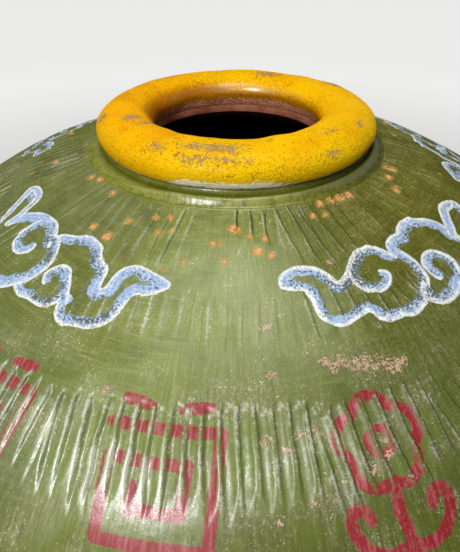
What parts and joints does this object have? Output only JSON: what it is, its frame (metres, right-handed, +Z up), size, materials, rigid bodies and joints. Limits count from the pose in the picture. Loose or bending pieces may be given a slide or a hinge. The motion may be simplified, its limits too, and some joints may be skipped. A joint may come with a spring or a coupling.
{
  "type": "storage jar",
  "caption": "Large round-shouldered storage jar with a thick rolled lip, a beaded neck collar and two bands of paddled grooves around the shoulder.",
  "frame": {"origin": "middle of the base, on the surface that the jar stands on", "axes": "+Z up along the jar's axis, -Y towards the viewer of the picture, +X to the viewer's right"},
  "size_m": [0.6, 0.6, 0.56],
  "materials": {
    "green_paint": "satin",
    "yellow_paint": "satin",
    "bare_clay": "matte"
  },
  "bodies": {
    "root": {"rolled_lip": "yellow_paint", "neck_collar": "green_paint", "shoulder_course_1": "green_paint", "shoulder_course_2": "green_paint", "shoulder_course_3": "green_paint", "shoulder_course_4": "green_paint", "wall_course_5": "green_paint", "wall_course_4": "green_paint", "wall_course_3": "green_paint", "wall_course_2": "green_paint", "wall_course_1": "green_paint", "foot_slab": "bare_clay"}
  },
  "joints": []
}
